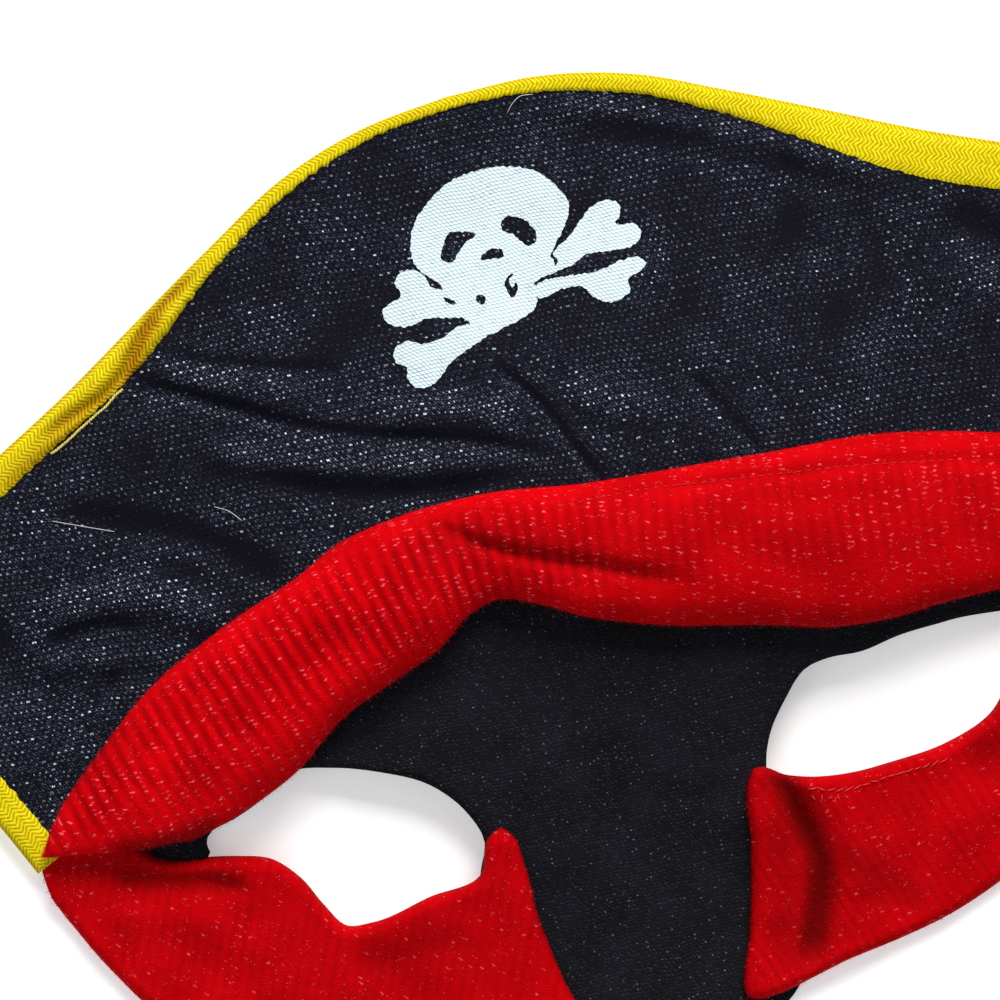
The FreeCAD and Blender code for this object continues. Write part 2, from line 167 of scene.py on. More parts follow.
BONES = [
    [(-9.0, -5.6), (-10.1, -4.8), (-11.0, -4.3), (-11.3, -3.0), (-11.9, -1.8), (-13.1, -1.0), (-14.9, -1.1),
     (-15.7, -2.1), (-15.4, -4.2), (-16.8, -4.6), (-18.5, -5.4), (-18.6, -6.6), (-17.1, -8.2), (-15.3, -8.6),
     (-13.0, -8.3), (-10.5, -8.9), (-8.0, -9.4), (-7.1, -8.4)],
    [(-6.8, -10.9), (-8.9, -10.7), (-11.9, -11.6), (-14.3, -11.6), (-16.7, -10.5), (-18.7, -11.4),
     (-18.8, -12.9),
     (-17.5, -14.1), (-17.9, -15.6), (-17.1, -17.1), (-15.0, -17.5), (-13.1, -16.5), (-11.7, -15.4),
     (-8.3, -14.0),
     (-5.2, -12.7)],
    [(5.7, -5.5), (7.1, -4.3), (9.7, -3.0), (11.9, -1.2), (14.2, 0.2), (16.4, 0.3), (17.6, -0.7),
     (17.4, -2.1),
     (16.3, -3.2), (19.1, -4.2), (19.4, -5.7), (18.0, -6.8), (14.5, -6.7), (11.1, -6.2), (8.8, -7.0),
     (6.2, -7.3),
     (4.3, -7.5)],
    [(2.4, -8.3), (4.9, -8.0), (8.5, -8.5), (12.5, -8.9), (15.9, -8.4), (18.0, -8.7), (18.8, -9.8),
     (17.9, -10.6),
     (15.7, -11.2), (15.5, -12.8), (13.8, -13.7), (11.7, -13.4), (10.2, -12.0), (9.3, -10.4), (6.8, -9.9),
     (2.7, -9.9)]]


# ------------------------------------------------------------------ camera, light and floor
VIEW_WIDTH = 140.0 * MM     # what the picture's width spans on the hat
VIEW_TURN = 17.0            # the hat leans this far anticlockwise in the picture
CAMERA_HEIGHT = 0.6
camera = bpy.data.objects.new("camera", bpy.data.cameras.new("camera"))
bpy.context.scene.collection.objects.link(camera)
camera.location = (-9.3 * MM, (CREST - 56.2) * MM, CAMERA_HEIGHT)
camera.rotation_euler = (0, 0, -math.radians(VIEW_TURN))
camera.data.lens = camera.data.sensor_width * (CAMERA_HEIGHT - 6 * MM) / VIEW_WIDTH
camera.data.clip_start = 0.01
bpy.context.scene.camera = camera
bpy.context.scene.view_settings.view_transform = "Standard"

LIGHT_X, LIGHT_V = math.sin(math.radians(VIEW_TURN)), math.cos(math.radians(VIEW_TURN))
up_in_picture = Vector((LIGHT_X, LIGHT_V, 0))


def area_light(name, place, size, power, colour):
    light = bpy.data.objects.new(name, bpy.data.lights.new(name, "AREA"))
    bpy.context.scene.collection.objects.link(light)
    light.location = place
    light.rotation_euler = (-Vector(place)).to_track_quat("-Z", "Y").to_euler()
    light.data.size = size
    light.data.energy = power
    light.data.color = colour


area_light("key", up_in_picture * 0.80 + Vector((0.16, 0, 0.62)), 0.58, 16.0, (1.0, 0.99, 0.96))
area_light("fill", up_in_picture * -0.3 + Vector((-0.6, 0, 0.8)), 0.9, 3.0, (0.93, 0.96, 1.0))
world = bpy.data.worlds.new("room")
bpy.context.scene.world = world
world.use_nodes = True
world.node_tree.nodes["Background"].inputs["Color"].default_value = (0.95, 0.97, 1.0, 1)
world.node_tree.nodes["Background"].inputs["Strength"].default_value = 0.30


# ------------------------------------------------------------------ curves and outlines
def steps(line):
    """The distance from each point of a line to the next."""
    return np.linalg.norm(np.diff(line, axis=0), axis=1)


def lengths_along(line):
    return np.concatenate([[0], np.cumsum(steps(line))])


def unit(rows):
    return rows / np.maximum(np.linalg.norm(rows, axis=1), 1e-9)[:, None]


def eased(t):
    """0 to 1 with a soft start and end."""
    return t * t * (3 - 2 * t)


def smooth_line(points, count, closed=False):
    """Evenly spaced points on a smooth curve through the given ones."""
    p = np.array(points, float)
    if closed:
        p = np.vstack([p[-2:], p, p[:3]])
    gap = np.maximum(steps(p), 1e-6)
    knots = np.concatenate([[0], np.cumsum(gap)])
    slope = np.gradient(p, knots, axis=0)
    first, last = (knots[2], knots[-3]) if closed else (0, knots[-1])
    fine = np.linspace(first, last, 60 * len(p))
    i = np.clip(np.searchsorted(knots, fine, side="right") - 1, 0, len(gap) - 1)
    h = gap[i][:, None]
    t = ((fine - knots[i]) / gap[i])[:, None]
    line = ((2 * t**3 - 3 * t**2 + 1) * p[i] + (t**3 - 2 * t**2 + t) * h * slope[i]
            + (3 * t**2 - 2 * t**3) * p[i + 1] + (t**3 - t**2) * h * slope[i + 1])
    length = lengths_along(line)
    at = np.linspace(0, length[-1], count, endpoint=not closed)
    return np.column_stack([np.interp(at, length, line[:, k]) for k in range(line.shape[1])])


def sideways(line):
    """Unit vectors to the right of a line's direction."""
    along = unit(np.gradient(line, axis=0))
    return np.column_stack([along[:, 1], -along[:, 0]])


def distance_to_line(x, v, line, closed=False):
    """Distance from every point to a line, and how far along the line its nearest place is, 0 to 1."""
    start = line if closed else line[:-1]
    end = np.roll(line, -1, axis=0) if closed else line[1:]
    best = np.full(x.shape, 1e9)
    where = np.zeros(x.shape)
    for k in range(len(start)):
        ex, ev = end[k] - start[k]
        t = np.clip(((x - start[k, 0]) * ex + (v - start[k, 1]) * ev) / max(ex * ex + ev * ev, 1e-9), 0, 1)
        d = (x - start[k, 0] - t * ex) ** 2 + (v - start[k, 1] - t * ev) ** 2
        nearer = d < best
        best = np.where(nearer, d, best)
        where = np.where(nearer, (k + t) / len(start), where)
    return np.sqrt(best), where


def inside(x, v, outline):
    """Signed distance to a closed outline, positive inside."""
    d, _ = distance_to_line(x, v, outline, closed=True)
    odd = np.zeros(x.shape, bool)
    x1, v1 = np.roll(outline, -1, axis=0).T
    for ax, av, bx, bv in zip(outline[:, 0], outline[:, 1], x1, v1):
        crosses = (av > v) != (bv > v)
        if np.any(crosses):
            odd ^= crosses & (x < (bx - ax) * (v - av) / (bv - av + 1e-12) + ax)
    return np.where(odd, d, -d)


# ------------------------------------------------------------------ heights
def tent(x, v):
    """The broad rise of the cloth over the wadding, highest along a ridge that sweeps back on both sides."""
    across = np.maximum(0, 1 - (x / TENT_HALF_WIDTH) ** 2) ** 2
    from_ridge = (v - RIDGE_V + RIDGE_SWEEP * (x / TENT_HALF_WIDTH) ** 2) / TENT_REACH
    return BASE + TENT_HEIGHT * across * np.maximum(0, 1 - from_ridge ** 2) ** 2


def waves(x, v, size, seed, count=14):
    """Gentle uneven undulation, about -1 to 1, with features of the given size."""
    draw = np.random.default_rng(seed)
    total = np.zeros(np.shape(x))
    for _ in range(count):
        angle, phase = draw.uniform(0, 2 * math.pi, 2)
        wave_length = size * draw.uniform(0.7, 1.8)
        total += np.sin((x * math.cos(angle) + v * math.sin(angle)) * 2 * math.pi / wave_length + phase)
    return total / math.sqrt(count)


def fold_profile(x, v, line, width, height):
    """A rounded ridge or valley along a line, fading out at both of its ends."""
    d, along = distance_to_line(x, v, smooth_line(line, 16))
    ends = np.clip(np.minimum(along, 1 - along) * 5, 0, 1)
    return height * eased(ends) * np.exp(-(d / width) ** 2)


def folded(x, v, folds, total):
    """The total with all the given folds added to it."""
    for line, width, height in folds:
        total = total + fold_profile(x, v, line, width, height)
    return total


def wrinkles(x, v):
    return folded(x, v, BRIM_FOLDS, 0.16 * waves(x, v, 17, 3) + 0.05 * waves(x, v, 6, 4))


def front_height(x, v):
    return tent(x, v) + FRONT_LIFT + wrinkles(x, v)


def back_height(x, v):
    return np.maximum(BACK_LOWEST, tent(x, v) + BACK_LIFT + 0.35 * wrinkles(x, v))


# ------------------------------------------------------------------ meshes
def hat_points(obj):
    """The x, v and z of all of an object's points, in millimetres."""
    co = np.zeros(len(obj.data.vertices) * 3)
    obj.data.vertices.foreach_get("co", co)
    return co.reshape(-1, 3) / MM - [0, CREST, 0]


def store(obj, name, values):
    """Keeps one number per point on the mesh, for its material."""
    obj.data.attributes.new(name, "FLOAT", "POINT").data.foreach_set("value", values.astype(np.float32))


def make_mesh(name, points, faces, cloth_uv):
    """A smooth-shaded mesh from points in millimetres, with the cloth's own coordinates in its UV map."""
    points = np.asarray(points, float)
    mesh = bpy.data.meshes.new(name)
    placed = np.column_stack([points[:, 0], points[:, 1] + CREST, points[:, 2]]) * MM
    mesh.from_pydata(placed.tolist(), [], [list(map(int, f)) for f in faces])
    mesh.validate()
    layer = mesh.uv_layers.new(name="cloth")
    corner = np.zeros(len(mesh.loops), np.int32)
    mesh.loops.foreach_get("vertex_index", corner)
    layer.data.foreach_set("uv", np.asarray(cloth_uv, float)[corner].astype(np.float32).ravel())
    mesh.polygons.foreach_set("use_smooth", [True] * len(mesh.polygons))
    obj = bpy.data.objects.new(name, mesh)
    bpy.context.scene.collection.objects.link(obj)
    return obj


def cut_grid(box, step, depth_of):
    """Points (x, v, depth) and faces of a square grid trimmed along depth_of(x, v) = 0."""
    x0, v0, x1, v1 = box
    gx, gv = np.meshgrid(np.arange(x0, x1 + step, step), np.arange(v0, v1 + step, step), indexing="ij")
    depth = depth_of(gx, gv)
    slope_x, slope_v = np.gradient(depth, step)
    near = np.abs(depth) < 0.3 * step
    gx = np.where(near, gx - depth * slope_x, gx)
    gv = np.where(near, gv - depth * slope_v, gv)
    depth = np.where(near, 0.0, depth)
    keep = depth >= 0
    number = np.full(gx.shape, -1)
    number[keep] = np.arange(keep.sum())
    points = np.column_stack([gx[keep], gv[keep], depth[keep]]).tolist()
    cells = keep[:-1, :-1].astype(int) + keep[1:, :-1] + keep[1:, 1:] + keep[:-1, 1:]
    i, j = np.nonzero(cells == 4)
    faces = np.column_stack([number[i, j], number[i + 1, j], number[i + 1, j + 1], number[i, j + 1]]).tolist()
    crossing = {}
    for i, j in zip(*np.nonzero((cells > 0) & (cells < 4))):
        corners = [(i, j), (i + 1, j), (i + 1, j + 1), (i, j + 1)]
        face = []
        for a, b in zip(corners, corners[1:] + corners[:1]):
            if keep[a]:
                face.append(number[a])
            if keep[a] != keep[b] and depth[a] != 0 and depth[b] != 0:
                key = (min(a, b), max(a, b))
                if key not in crossing:
                    t = depth[a] / (depth[a] - depth[b])
                    crossing[key] = len(points)
                    points.append([gx[a] + t * (gx[b] - gx[a]), gv[a] + t * (gv[b] - gv[a]), 0.0])
                face.append(crossing[key])
        if len(face) > 2:
            faces.append(face)
    return np.array(points), faces


def box_of(outline, margin=1.0):
    return (*(outline.min(0) - margin), *(outline.max(0) + margin))


def turned(x, v, degrees):
    c, s = math.cos(math.radians(degrees)), math.sin(math.radians(degrees))
    return np.column_stack([x * c + v * s, -x * s + v * c])


def sheet_mesh(name, outline, step, height, grain):
    """One layer of cloth inside an outline."""
    points, faces = cut_grid(box_of(outline), step, lambda x, v: inside(x, v, outline))
    x, v = points[:, 0], points[:, 1]
    return make_mesh(name, np.column_stack([x, v, height(x, v)]), faces, turned(x, v, grain))


def pad_mesh(name, outline, step, top, bottom, grain):
    """A closed pad: its top and bottom meet along the outline."""
    points, faces = cut_grid(box_of(outline), step, lambda x, v: inside(x, v, outline))
    x, v, depth = points.T
    count = len(points)
    rim = depth <= 1e-6
    below = np.where(rim, np.arange(count), count + np.cumsum(~rim) - 1)
    low, high = bottom(x, v, depth), top(x, v, depth)
    upper = np.column_stack([x, v, np.where(rim, (low + high) / 2, high)])
    lower = np.column_stack([x, v, low])[~rim]
    faces = list(faces) + [[below[k] for k in reversed(f)] for f in faces]
    uv = turned(x, v, grain)
    return make_mesh(name, np.vstack([upper, lower]), faces, np.vstack([uv, uv[~rim]]))


def swept_mesh(name, rows, uv, closed):
    """A mesh through points that run along i and round j. A closed section has its ends capped."""
    n, m = rows.shape[:2]
    faces = []
    for i in range(n - 1):
        for j in range(m if closed else m - 1):
            k = (j + 1) % m
            faces.append([i * m + j, i * m + k, (i + 1) * m + k, (i + 1) * m + j])
    if closed:
        faces.append(list(range(m)))
        faces.append([(n - 1) * m + j for j in reversed(range(m))])
    return make_mesh(name, rows.reshape(-1, 3), faces, uv.reshape(-1, 2))


def tube(name, lines, radius, sides=6):
    """Round threads along lines of (x, v, z) points, joined in one mesh."""
    points, faces, uv = [], [], []
    for line in lines:
        line = np.asarray(line, float)
        along = unit(np.gradient(line, axis=0))
        side = unit(np.cross(along, NEARLY_UP))
        over = np.cross(side, along)
        first = len(points)
        for k, p in enumerate(line):
            for j in range(sides):
                a = FULL_TURN * j / sides
                points.append(p + radius * (math.cos(a) * side[k] + math.sin(a) * over[k]))
                uv.append((k * radius * 2, j * radius))
        for k in range(len(line) - 1):
            for j in range(sides):
                n = (j + 1) % sides
                a, b = first + k * sides, first + (k + 1) * sides
                faces.append([a + j, a + n, b + n, b + j])
        faces.append([first + j for j in reversed(range(sides))])
        faces.append([first + (len(line) - 1) * sides + j for j in range(sides)])
    return make_mesh(name, points, faces, uv)


def fibres(name, roots, directions, lengths, width, seed):
    """Short curved hairs, each a narrow tapering ribbon with four cross-cuts."""
    draw = np.random.default_rng(seed)
    count = len(roots)
    directions = unit(directions)
    bend = draw.normal(size=(count, 3)) * 0.35
    flat = unit(np.cross(directions, draw.normal(size=(count, 3))))
    rows = []
    for share, taper in ((0, 1.0), (0.35, 0.9), (0.7, 0.6), (1.0, 0.15)):
        middle = roots + (directions * share + bend * share * share) * lengths[:, None]
        rows.append(middle - flat * width * taper / 2)
        rows.append(middle + flat * width * taper / 2)
    points = np.stack(rows, axis=1).reshape(-1, 3)
    start = np.arange(count) * len(rows)
    faces = np.vstack([np.column_stack([start + n for n in (k, k + 1, k + 3, k + 2)]) for k in (0, 2, 4)])
    return make_mesh(name, points, faces.tolist(), points[:, :2])


# ------------------------------------------------------------------ materials
WEAVE = (0.87, 0.75, 0.61)      # width, height and shift of one cell of the brim's weave
HALF_WEAVE = (0.435, 0.375, 0.61)
PRINT_WEAVE = (0.62, 0.50, 0.61)
TWILL_PITCH, ZIGZAG_PITCH = 0.64, 2.1


class Signal:
    """A number that varies over the cloth. It adds, subtracts and multiplies like a plain one."""

    def __init__(self, finish, socket):
        self.finish = finish
        self.socket = socket

    def __add__(self, other):
        return self.finish.math("ADD", self, other)

    def __sub__(self, other):
        return self.finish.math("SUBTRACT", self, other)

    def __rsub__(self, other):
        return self.finish.math("SUBTRACT", other, self)

    def __mul__(self, other):
        return self.finish.math("MULTIPLY", self, other)

    def __pow__(self, other):
        return self.finish.math("POWER", self, other)

    __radd__ = __add__
    __rmul__ = __mul__


class Finish:
    """A node material, built up call by call. Lengths in the patterns are millimetres of cloth."""

    def __init__(self, name):
        self.material = bpy.data.materials.new(name)
        self.material.use_nodes = True
        self.tree = self.material.node_tree
        self.shader = self.tree.nodes["Principled BSDF"]
        self.place = self.node("UVMap").outputs["UV"]
        self.place.node.uv_map = "cloth"
        self.x, self.y = self.split(self.place)

    def node(self, kind, **inputs):
        made = self.tree.nodes.new("ShaderNode" + kind)
        for name, value in inputs.items():
            self.put(made.inputs[name.replace("_", " ")], value)
        return made

    def put(self, socket, value):
        """Links a signal or socket to an input, or sets the input to a number or a colour."""
        if isinstance(value, Signal):
            value = value.socket
        if isinstance(value, bpy.types.NodeSocket):
            self.tree.links.new(value, socket)
        else:
            socket.default_value = (*value, 1) if isinstance(value, tuple) else value

    def split(self, vector):
        parts = self.node("SeparateXYZ", Vector=vector).outputs
        return Signal(self, parts["X"]), Signal(self, parts["Y"])

    def math(self, operation, *values):
        made = self.node("Math")
        made.operation = operation
        for socket, value in zip(made.inputs, values):
            self.put(socket, value)
        return Signal(self, made.outputs[0])

    def fraction(self, value):
        return self.math("FRACT", value)

    def capped(self, value):
        return self.math("MINIMUM", 1.0, value)

    def mix(self, share, a, b):
        made = self.node("Mix")
        made.data_type = "RGBA"
        for socket, value in (("Factor", share), ("A", a), ("B", b)):
            self.put(made.inputs[socket], value)
        return made.outputs["Result"]

    def ramp(self, value, low, high):
        """0 below low, 1 above high, smooth between."""
        made = self.node("MapRange", Value=value, From_Min=low, From_Max=high)
        made.interpolation_type = "SMOOTHSTEP"
        return Signal(self, made.outputs["Result"])

    def noise(self, size, detail=2.0):
        made = self.node("TexNoise", Vector=self.place, Scale=1.0 / size, Detail=detail)
        return Signal(self, made.outputs["Fac"])

    def stored(self, name):
        """The value that the mesh holds under this name."""
        made = self.node("Attribute")
        made.attribute_name = name
        return Signal(self, made.outputs["Fac"])

    def bent(self, amount, size):
        """The cloth's coordinates, pushed about a little so that rows of yarn aren't ruler-straight."""
        drift = self.node("TexNoise", Vector=self.place, Scale=1.0 / size, Detail=1.0).outputs["Color"]
        push_x, push_y = self.split(drift)
        return self.x + (push_x - 0.5) * amount, self.y + (push_y - 0.5) * amount

    def cells(self, x, y, width, height, shift):
        """Rows of cells: a random number per cell, and the place in the cell from -0.5 to 0.5 both ways."""
        row = y * (1.0 / height)
        row_number = self.math("FLOOR", row)
        column = x * (1.0 / width) + row_number * shift
        corner = self.node("CombineXYZ", X=self.math("FLOOR", column), Y=row_number).outputs[0]
        luck = Signal(self, self.node("TexWhiteNoise", Vector=corner).outputs["Value"])
        return luck, self.fraction(column) - 0.5, self.fraction(row) - 0.5

    def spot(self, fx, fy, wide, tall, slant=0.0):
        """1 in the middle of a cell's slanted oval spot, 0 outside it."""
        sx = (fx + fy * slant) * (1.0 / wide)
        sy = fy * (1.0 / tall)
        return 1.0 - self.ramp(self.math("SQRT", sx * sx + sy * sy), 0.45, 1.0)

    def bump(self, height, depth):
        return self.node("Bump", Height=height, Distance=depth * MM, Strength=1.0).outputs["Normal"]

    def done(self, colour, roughness, normal=None, specular=0.1):
        self.put(self.shader.inputs["Base Color"], colour)
        self.shader.inputs["Roughness"].default_value = roughness
        self.shader.inputs["Specular IOR Level"].default_value = specular
        if normal is not None:
            self.put(self.shader.inputs["Normal"], normal)
        return self.material


def sparkle_cloth():
    """Black cloth with staggered rows of slanted glints, every other row of them brighter.

    The glints are scattered in some patches of the cloth and even along their rows in others. Glints and yarn
    are painted brighter where the brim's stored glint share is high and darker where it is low: painted
    highlight and painted shade.
    """
    f = Finish("black_cloth")
    x, y = f.bent(3.2, 14.0)
    # Painted light: the stored glint share lightens glints and yarn on lit slopes and ridges and darkens them
    # in valleys.
    painted_light_catch = f.stored("painted_glint") * (0.55 + f.ramp(f.noise(4.0), 0.35, 0.65) * 0.45)
    side_luck, _, _ = f.cells(x + 31.7, y, *WEAVE)
    rise_luck, _, _ = f.cells(x + 78.1, y, *WEAVE)
    luck, fx, fy = f.cells(x, y, *WEAVE)
    dot = f.spot(fx + (side_luck - 0.5) * 0.36, fy + (rise_luck - 0.5) * 0.22, 0.185, 0.235, 0.25)
    row_share = 0.30 + f.math("LESS_THAN", f.fraction(y * (0.5 / WEAVE[1])), 0.5) * 0.70
    scattered = 0.05 + luck ** 3.2 * 1.1
    in_rows = 0.14 + luck * 0.26
    even = f.ramp(f.noise(15.0), 0.44, 0.62)
    random_part = scattered * (1.0 - even) + in_rows * even
    bright = dot * f.capped(row_share * random_part * (painted_light_catch * 3.0))
    fine_luck, gx, gy = f.cells(x, y, *HALF_WEAVE)
    yarn = f.spot(gx, gy, 0.40, 0.42, 0.6)
    dim = yarn * fine_luck ** 1.6 * f.capped(painted_light_catch * 1.6)
    lit = f.mix(dim, (0.0052, 0.0047, 0.0095), (0.070, 0.098, 0.140))
    colour = f.mix(bright, lit, (0.66, 0.74, 0.82))
    return f.done(colour, 0.8, f.bump(yarn * 0.6 + dot * 0.4, 0.08), 0.04)


def white_ink():
    """Print soaked into the same weave, with specks of bare cloth."""
    f = Finish("white_print")
    x, y = f.bent(1.8, 9.0)
    luck, fx, fy = f.cells(x, y, *PRINT_WEAVE)
    yarn = f.spot(fx, fy, 0.55, 0.55, 0.7)
    speck = f.ramp(luck, 0.86, 0.99) * (1.0 - yarn)
    shade = f.mix(yarn, (0.50, 0.62, 0.67), (0.70, 0.84, 0.87))
    return f.done(f.mix(speck * 0.7, shade, (0.25, 0.32, 0.40)), 0.8, f.bump(yarn, 0.08))


def gold_twill():
    """Bright yellow tape in a fine herringbone, with painted shade (browner) in its creases, and browner
    along the brim's very edge.
    """
    f = Finish("gold_tape")
    x, y = f.bent(0.45, 1.8)
    zigzag = f.math("ABSOLUTE", f.fraction(y * (1 / ZIGZAG_PITCH)) - 0.5)
    luck = f.noise(0.5)
    yarn = 0.5 + 0.5 * f.math("SINE", (x * (1 / TWILL_PITCH) + zigzag * 2.6) * FULL_TURN)
    yarn = f.ramp(yarn + (luck - 0.5) * 1.5, -0.1, 0.8)
    bright = f.mix(f.ramp(f.noise(6.0, 3.0), 0.3, 0.7), (0.62, 0.48, 0.0006), (0.72, 0.60, 0.0010))
    shiny = f.mix(yarn ** 3.0 * luck, bright, (0.86, 0.77, 0.012))
    colour = f.mix(yarn, (0.47, 0.32, 0.0), shiny)
    rim = (1.0 - f.ramp(f.math("ABSOLUTE", f.y), 0.1, 0.9)) * 0.45
    # Painted shade: the stored crease value browns the tape in its creases.
    brown = f.math("MAXIMUM", rim, f.stored("crease"))
    colour = f.mix(brown, colour, f.mix(yarn, (0.15, 0.055, 0.0), (0.42, 0.20, 0.0)))
    return f.done(colour, 0.7, f.bump(yarn, 0.05), 0.08)


def red_rib(name, pitch, rib_strength, glint_share, reach, slack_from, brightness):
    """Red rib knit with pale glints strung on its ribs.

    The ribs run along y, fade out at reach to either side, and are flatter past slack_from.
    """
    f = Finish(name)
    x, y = f.bent(0.6, 4.0)
    rib = 0.5 + 0.5 * f.math("COSINE", x * (FULL_TURN / pitch))
    fading = 1.0 - f.ramp(f.math("ABSOLUTE", y), 0.45 * reach, reach)
    slack = 1.0 + f.ramp(f.x, slack_from, slack_from + 30.0) * -0.55
    rib_here = f.ramp(f.noise(6.0), 0.20, 0.60) * rib_strength * (fading * slack)
    on_rib = x + pitch / 2
    glint_luck, hx, hy = f.cells(on_rib, y, pitch, 0.74, 0.0)
    side_luck, _, _ = f.cells(on_rib, y + 57.3, pitch, 0.74, 0.0)
    painted_glint = f.spot(hx + (side_luck - 0.5) * 0.40, hy, 0.15, 0.30, 0.3)
    painted_glint = painted_glint * f.ramp(glint_luck, 1.0 - glint_share, 1.1)
    tiny_luck, tx, ty = f.cells(x + y, y + x * -0.6, 0.60, 0.55, 0.43)
    tiny = f.spot(tx, ty, 0.27, 0.25) * f.ramp(tiny_luck, 0.90, 1.05)
    fuzz = f.noise(0.30, 4.0)
    clump = f.noise(1.1, 3.0)
    broad = f.ramp(f.noise(9.0), 0.3, 0.72)
    dark = f.mix(broad, (0.22 * brightness, 0.0, 0.001), (0.30 * brightness, 0.0, 0.002))
    light = f.mix(broad, (0.48 * brightness, 0.0, 0.002), (0.60 * brightness, 0.0005, 0.003))
    body = (1.0 - rib_here + rib * rib_here) * (0.38 + (fuzz * 0.65 + clump * 0.65))
    colour = f.mix(f.capped(body), dark, light)
    colour = f.mix(f.capped(painted_glint * 0.85 + tiny * 0.6), colour, (0.80, 0.15, 0.20))
    # Painted shade: darker red where the stored crease value marks folds and creases.
    colour = f.mix(f.stored("crease"), colour, (0.10, 0.001, 0.001))
    return f.done(colour, 0.9, f.bump(clump * 0.7 + fuzz * 0.8, 0.14), 0.03)


def plain_black(name, glint_share, cell, tone):
    """Matte black cloth with a faint slanted weave and a few pale specks."""
    f = Finish(name)
    x, y = f.bent(1.2, 4.0)
    side_luck, _, _ = f.cells(x + 19.3, y, cell, cell * 0.85, 0.5)
    luck, fx, fy = f.cells(x, y, cell, cell * 0.85, 0.5)
    yarn = f.spot(fx + (side_luck - 0.5) * 0.5, fy, 0.38, 0.42, 0.7)
    speck_luck, sx, sy = f.cells(x + y * 0.7, y + x * -0.4, 0.8, 0.7, 0.39)
    speck = f.spot(sx, sy, 0.2, 0.2) * f.ramp(speck_luck, 1.0 - glint_share, 1.0) ** 1.5
    base = f.mix(f.ramp(f.noise(8.0), 0.3, 0.7), (0.0074, 0.0072, 0.0080), (0.0100, 0.0094, 0.0140))
    colour = f.mix(speck, f.mix(yarn * luck ** 1.5, base, tone), (0.14, 0.16, 0.20))
    return f.done(colour, 0.9, f.bump(yarn + f.noise(0.3, 3.0), 0.07), 0.04)


def webbing():
    """Flat black woven tape: ribs across it."""
    f = Finish("black_webbing")
    luck, fx, fy = f.cells(f.x, f.y, 0.9, 0.55, 0.5)
    yarn = f.spot(fx, fy, 0.55, 0.5)
    colour = f.mix(yarn * (0.4 + luck * 0.6), (0.004, 0.004, 0.005), (0.035, 0.036, 0.042))
    return f.done(colour, 0.6, f.bump(yarn, 0.2), 0.4)


def thread(name, colour, pale):
    """Twisted sewing thread."""
    f = Finish(name)
    return f.done(f.mix(f.ramp(f.noise(0.2, 1.0), 0.35, 0.65), colour, pale), 0.7, specular=0.2)


def plain(name, colour, pale, size, roughness):
    """An even material, mottled between two colours at the given size."""
    f = Finish(name)
    return f.done(f.mix(f.noise(size, 3.0), colour, pale), roughness, f.bump(f.noise(size / 2, 3.0), 0.1))


BLACK_CLOTH = sparkle_cloth()
WHITE_INK = white_ink()
GOLD_TAPE = gold_twill()
RED_BAND = red_rib("red_rib_band", RIB_PITCH, 0.80, 0.45, 9.5, 80.0, 1.02)
RED_REAR = red_rib("red_rib_rear", 1.64, 0.30, 0.16, 400.0, 400.0, 0.90)
RED_FIBRE = plain("red_fibre", (0.45, 0.0, 0.003), (0.62, 0.004, 0.01), 0.8, 0.9)
CROWN_CLOTH = plain_black("crown_knit", 0.14, 0.60, (0.024, 0.027, 0.036))
BACK_CLOTH = plain_black("back_cloth", 0.04, 0.50, (0.020, 0.021, 0.026))
WEBBING = webbing()
PINK_THREAD = thread("pink_thread", (0.60, 0.015, 0.02), (0.82, 0.10, 0.095))
RED_THREAD = thread("red_thread", (0.42, 0.0, 0.004), (0.66, 0.04, 0.045))
YELLOW_THREAD = thread("yellow_thread", (0.45, 0.33, 0.02), (0.80, 0.72, 0.25))
LINT = thread("lint", (0.45, 0.46, 0.48), (0.62, 0.62, 0.64))
PILE = plain("loop_pile", (0.010, 0.010, 0.011), (0.045, 0.045, 0.050), 0.3, 0.95)
HOOK = plain("hook_tape", (0.012, 0.012, 0.013), (0.03, 0.03, 0.032), 0.5, 0.4)
INTERLINING = plain("interlining", (0.62, 0.62, 0.60), (0.78, 0.78, 0.75), 1.0, 0.95)
WADDING = plain("wadding", (0.80, 0.79, 0.75), (0.92, 0.91, 0.88), 1.5, 0.95)

FOLD_START = (0, (CREST + FOLD_V - 1.0) * MM, FOLD["pos_m"][2])
FOLD_END = (0, (CREST + FOLD_V + 18.0) * MM, FOLD["pos_m"][2])


def mark_painted_shade(obj, lines):
    """Stores on each point how deep it lies in the given lines, each with a half width and a strength:
    painted shade that the materials darken by.
    """
    x, v, _ = hat_points(obj).T
    total = np.zeros(len(x))
    for line, width, strength in lines:
        total = np.maximum(total, fold_profile(x, v, line, width, strength))
    store(obj, "crease", total)


def dress(obj, material, slot):
    obj.data.materials.append(material)
    return obj


def on_cap(obj, material, slot):
    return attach(dress(obj, material, slot), "cap")


def across_fold(obj, material, slot):
    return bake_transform(dress(obj, material, slot))


# ------------------------------------------------------------------ the brim
GRAIN = -5.0            # the rows of yarn lean this far from the hat's own x
FINE = 0.65
SLOPE_STEP = 0.8        # the cloth's slope towards the light is read over this distance

right_edge = smooth_line(BRIM_HALF, 900)
free_edge = np.vstack([right_edge[::-1] * [-1, 1], right_edge[1:]])
brim_outline = np.vstack([free_edge, smooth_line(BRIM_SEWN, 120)[1:-1]])


def shrunk(outline, by):
    return outline + sideways(np.vstack([outline[-1:], outline, outline[:1]]))[1:-1] * by


cloth_outline = shrunk(brim_outline, 0.7)[::5]
front = sheet_mesh("brim_front_cloth", cloth_outline, FINE, front_height, GRAIN)
across_fold(front, BLACK_CLOTH, "black_cloth")
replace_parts(front, "brim_front_panel", "brim_root_front_panel")
x, v, _ = hat_points(front).T
step_x, step_v = SLOPE_STEP / 2 * LIGHT_X, SLOPE_STEP / 2 * LIGHT_V
